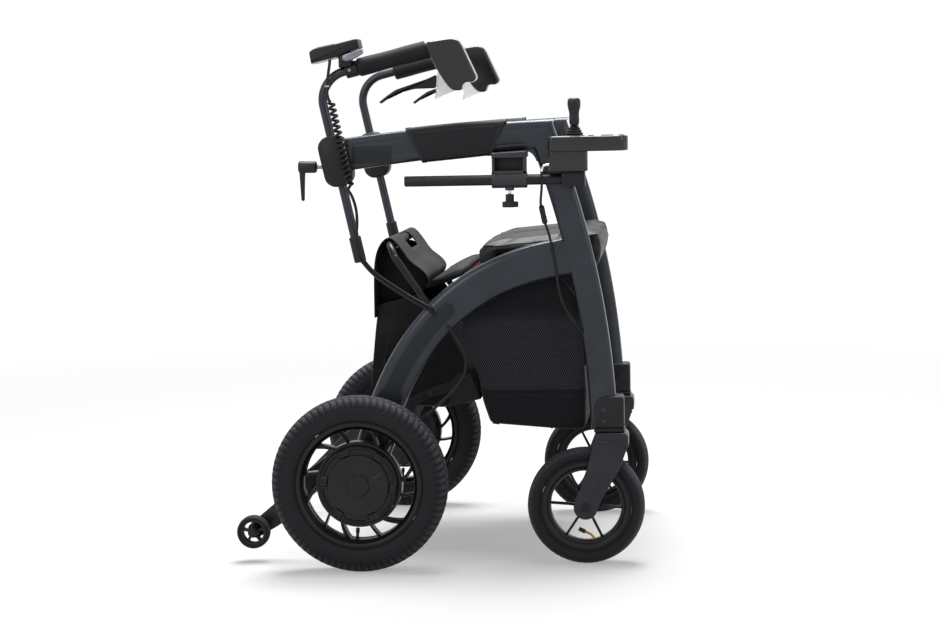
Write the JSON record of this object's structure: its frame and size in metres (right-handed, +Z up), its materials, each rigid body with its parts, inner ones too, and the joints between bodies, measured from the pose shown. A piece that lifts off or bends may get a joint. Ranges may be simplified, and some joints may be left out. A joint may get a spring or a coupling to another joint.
{
  "type": "rollator wheelchair",
  "caption": "Folding rollator wheelchair with arched side frames, motor wheels, swivel casters, seat, handles, bags and side joystick.",
  "frame": {"origin": "centre of the object's box on the ground, on the mid plane", "axes": "+X forwards, the way the casters lead, +Y to the user's left, +Z up"},
  "size_m": [0.717, 0.656, 0.9096],
  "materials": {
    "frame_paint": "satin powder coat, blue-grey anthracite",
    "black_alloy": "black satin anodised",
    "black_plastic": "fine-grained moulded plastic",
    "gloss_black": "smooth moulded plastic",
    "tyre_rubber": "moulded rubber with block tread",
    "grip_rubber": "ribbed rubber",
    "cast_metal": "dark cast alloy",
    "bag_fabric": "woven nylon",
    "seat_cover": "padded woven cover"
  },
  "bodies": {
    "right_frame": {"arm_tube_right": "frame_paint", "front_leg_right": "frame_paint", "arc_tube_right": "frame_paint", "clamp_block_right": "black_plastic", "caster_housing_right": "black_plastic", "armrest_sleeve_right": "bag_fabric", "back_hoop_right": "black_alloy", "rod_bracket": "cast_metal", "battery_pack": "black_plastic", "battery_bag": "bag_fabric", "mesh_bag": "bag_fabric", "back_flap": "bag_fabric", "control_cable": "black_plastic", "joystick_cable": "black_plastic"},
    "left_frame": {"arm_tube_left": "frame_paint", "front_leg_left": "frame_paint", "arc_tube_left": "frame_paint", "clamp_block_left": "black_plastic", "caster_housing_left": "black_plastic", "armrest_sleeve_left": "bag_fabric", "back_hoop_left": "black_alloy"},
    "cross_a": {"cross_frame_a": "black_alloy"},
    "cross_b": {"cross_frame_b": "black_alloy"},
    "left_seat": {"seat_pad_left": "seat_cover"},
    "right_seat": {"seat_pad_right": "seat_cover"},
    "right_rear_wheel": {"rear_tyre_right": "tyre_rubber", "rear_rim_right": "black_plastic", "hub_motor_right": "gloss_black"},
    "right_caster": {"caster_fork_right": "frame_paint"},
    "right_front_wheel": {"front_tyre_right": "tyre_rubber", "front_rim_right": "black_plastic"},
    "right_antitip_arm": {"antitip_arm_right": "black_plastic"},
    "right_antitip_wheel": {"antitip_wheel_right": "tyre_rubber"},
    "right_stem_foot": {"stem_foot_right": "black_plastic"},
    "right_handle": {"handle_stem_right": "frame_paint", "grip_right": "grip_rubber", "brake_housing_right": "gloss_black", "display_unit": "gloss_black"},
    "right_brake_lever": {"brake_lever_right": "black_plastic"},
    "right_clamp": {"clamp_lever_right": "black_plastic"},
    "left_rear_wheel": {"rear_tyre_left": "tyre_rubber", "rear_rim_left": "black_plastic", "hub_motor_left": "gloss_black"},
    "left_caster": {"caster_fork_left": "frame_paint"},
    "left_front_wheel": {"front_tyre_left": "tyre_rubber", "front_rim_left": "black_plastic"},
    "left_antitip_arm": {"antitip_arm_left": "black_plastic"},
    "left_antitip_wheel": {"antitip_wheel_left": "tyre_rubber"},
    "left_stem_foot": {"stem_foot_left": "black_plastic"},
    "left_handle": {"handle_stem_left": "frame_paint", "grip_left": "grip_rubber", "brake_housing_left": "gloss_black"},
    "left_brake_lever": {"brake_lever_left": "black_plastic"},
    "left_clamp": {"clamp_lever_left": "black_plastic"},
    "paddle": {"thumb_paddle": "black_plastic"},
    "side_control": {"joystick_rod": "black_alloy", "joystick_housing": "gloss_black"},
    "joystick_gimbal": {"joystick_boot": "black_plastic"},
    "joystick": {"joystick_stick": "black_plastic"},
    "rod_clamp_knob": {"star_knob": "black_plastic"}
  },
  "joints": [
    {"name": "frame_fold", "type": "hinge", "parent": "right_frame", "child": "cross_a", "pos_m": [0.1282, -0.163, 0.367], "axis": [1, 0, 0], "range_deg": [0, 37], "deforming": ["mesh_bag", "battery_bag", "back_flap"]},
    {"name": "cross_centre", "type": "hinge", "parent": "cross_a", "child": "cross_b", "pos_m": [0.1282, 0, 0.447], "axis": [1, 0, 0], "range_deg": [-74, 0]},
    {"name": "left_frame_pivot", "type": "hinge", "parent": "cross_b", "child": "left_frame", "pos_m": [0.1282, 0.163, 0.367], "axis": [1, 0, 0], "range_deg": [0, 37]},
    {"name": "left_seat_fold", "type": "hinge", "parent": "cross_a", "child": "left_seat", "pos_m": [0.1282, 0.163, 0.527], "axis": [1, 0, 0], "range_deg": [-107.3, 0]},
    {"name": "right_seat_fold", "type": "hinge", "parent": "cross_b", "child": "right_seat", "pos_m": [0.1282, -0.163, 0.527], "axis": [1, 0, 0], "range_deg": [0, 107.3]},
    {"name": "right_rear_wheel_spin", "type": "hinge", "parent": "right_frame", "child": "right_rear_wheel", "pos_m": [-0.1268, -0.3, 0.152], "axis": [0, 1, 0], "continuous": true},
    {"name": "right_caster_swivel", "type": "hinge", "parent": "right_frame", "child": "right_caster", "pos_m": [0.3012, -0.231, 0.22], "axis": [0, 0, 1], "continuous": true},
    {"name": "right_front_wheel_spin", "type": "hinge", "parent": "right_caster", "child": "right_front_wheel", "pos_m": [0.2572, -0.231, 0.1013], "axis": [0, 1, 0], "continuous": true},
    {"name": "right_antitip_lift", "type": "hinge", "parent": "right_frame", "child": "right_antitip_arm", "pos_m": [-0.1148, -0.231, 0.2], "axis": [0, 1, 0], "range_deg": [0, 60]},
    {"name": "right_antitip_wheel_spin", "type": "hinge", "parent": "right_antitip_arm", "child": "right_antitip_wheel", "pos_m": [-0.3293, -0.227, 0.053], "axis": [0, 1, 0], "continuous": true},
    {"name": "right_handle_height", "type": "slide", "parent": "right_frame", "child": "right_stem_foot", "axis": [-0.2096, 0, 0.9778], "range_m": [0, 0.08], "deforming": ["control_cable"]},
    {"name": "right_handle_turn", "type": "hinge", "parent": "right_stem_foot", "child": "right_handle", "pos_m": [-0.1265, -0.231, 0.5269], "axis": [0.2096, 0, -0.9778], "range_deg": [0, 180], "deforming": ["control_cable"]},
    {"name": "right_brake_squeeze", "type": "hinge", "parent": "right_handle", "child": "right_brake_lever", "pos_m": [0.0362, -0.231, 0.84], "axis": [0, 1, 0], "range_deg": [-12, 14], "stiffness_Nm_per_rad": 3},
    {"name": "right_clamp_turn", "type": "hinge", "parent": "right_frame", "child": "right_clamp", "pos_m": [-0.2148, -0.231, 0.6925], "axis": [-1, 0, 0], "range_deg": [0, 90]},
    {"name": "left_rear_wheel_spin", "type": "hinge", "parent": "left_frame", "child": "left_rear_wheel", "pos_m": [-0.1268, 0.3, 0.152], "axis": [0, 1, 0], "continuous": true},
    {"name": "left_caster_swivel", "type": "hinge", "parent": "left_frame", "child": "left_caster", "pos_m": [0.3012, 0.231, 0.22], "axis": [0, 0, 1], "continuous": true},
    {"name": "left_front_wheel_spin", "type": "hinge", "parent": "left_caster", "child": "left_front_wheel", "pos_m": [0.2572, 0.231, 0.1013], "axis": [0, 1, 0], "continuous": true},
    {"name": "left_antitip_lift", "type": "hinge", "parent": "left_frame", "child": "left_antitip_arm", "pos_m": [-0.1148, 0.231, 0.2], "axis": [0, 1, 0], "range_deg": [0, 60]},
    {"name": "left_antitip_wheel_spin", "type": "hinge", "parent": "left_antitip_arm", "child": "left_antitip_wheel", "pos_m": [-0.3293, 0.227, 0.053], "axis": [0, 1, 0], "continuous": true},
    {"name": "left_handle_height", "type": "slide", "parent": "left_frame", "child": "left_stem_foot", "axis": [-0.2096, 0, 0.9778], "range_m": [0, 0.08]},
    {"name": "left_handle_turn", "type": "hinge", "parent": "left_stem_foot", "child": "left_handle", "pos_m": [-0.1265, 0.231, 0.5269], "axis": [-0.2096, 0, 0.9778], "range_deg": [0, 180]},
    {"name": "left_brake_squeeze", "type": "hinge", "parent": "left_handle", "child": "left_brake_lever", "pos_m": [0.0362, 0.231, 0.84], "axis": [0, 1, 0], "range_deg": [-12, 14], "stiffness_Nm_per_rad": 3},
    {"name": "left_clamp_turn", "type": "hinge", "parent": "left_frame", "child": "left_clamp", "pos_m": [-0.2148, 0.231, 0.6925], "axis": [1, 0, 0], "range_deg": [0, 90]},
    {"name": "thumb_press", "type": "hinge", "parent": "right_handle", "child": "paddle", "pos_m": [-0.1413, -0.2483, 0.8775], "axis": [0, 1, 0], "range_deg": [0, 15], "stiffness_Nm_per_rad": 0.3},
    {"name": "side_control_slide", "type": "slide", "parent": "right_frame", "child": "side_control", "axis": [1, 0, 0], "range_m": [-0.03, 0.1], "deforming": ["joystick_cable"]},
    {"name": "joystick_pitch", "type": "hinge", "parent": "side_control", "child": "joystick_gimbal", "pos_m": [0.2482, -0.2715, 0.738], "axis": [0, 1, 0], "range_deg": [-18, 18], "stiffness_Nm_per_rad": 0.3, "deforming": ["joystick_boot"]},
    {"name": "joystick_roll", "type": "hinge", "parent": "joystick_gimbal", "child": "joystick", "pos_m": [0.2482, -0.2715, 0.738], "axis": [1, 0, 0], "range_deg": [-18, 18], "stiffness_Nm_per_rad": 0.3},
    {"name": "star_knob_turn", "type": "hinge", "parent": "right_frame", "child": "rod_clamp_knob", "pos_m": [0.1365, -0.262, 0.63], "axis": [0, 0, 1], "range_deg": [0, 360]}
  ],
  "couplings": [
    {"joint": "cross_centre", "follows": "frame_fold", "ratio": -2},
    {"joint": "left_frame_pivot", "follows": "frame_fold", "ratio": 1},
    {"joint": "left_seat_fold", "follows": "frame_fold", "ratio": -2.9},
    {"joint": "right_seat_fold", "follows": "frame_fold", "ratio": 2.9}
  ]
}
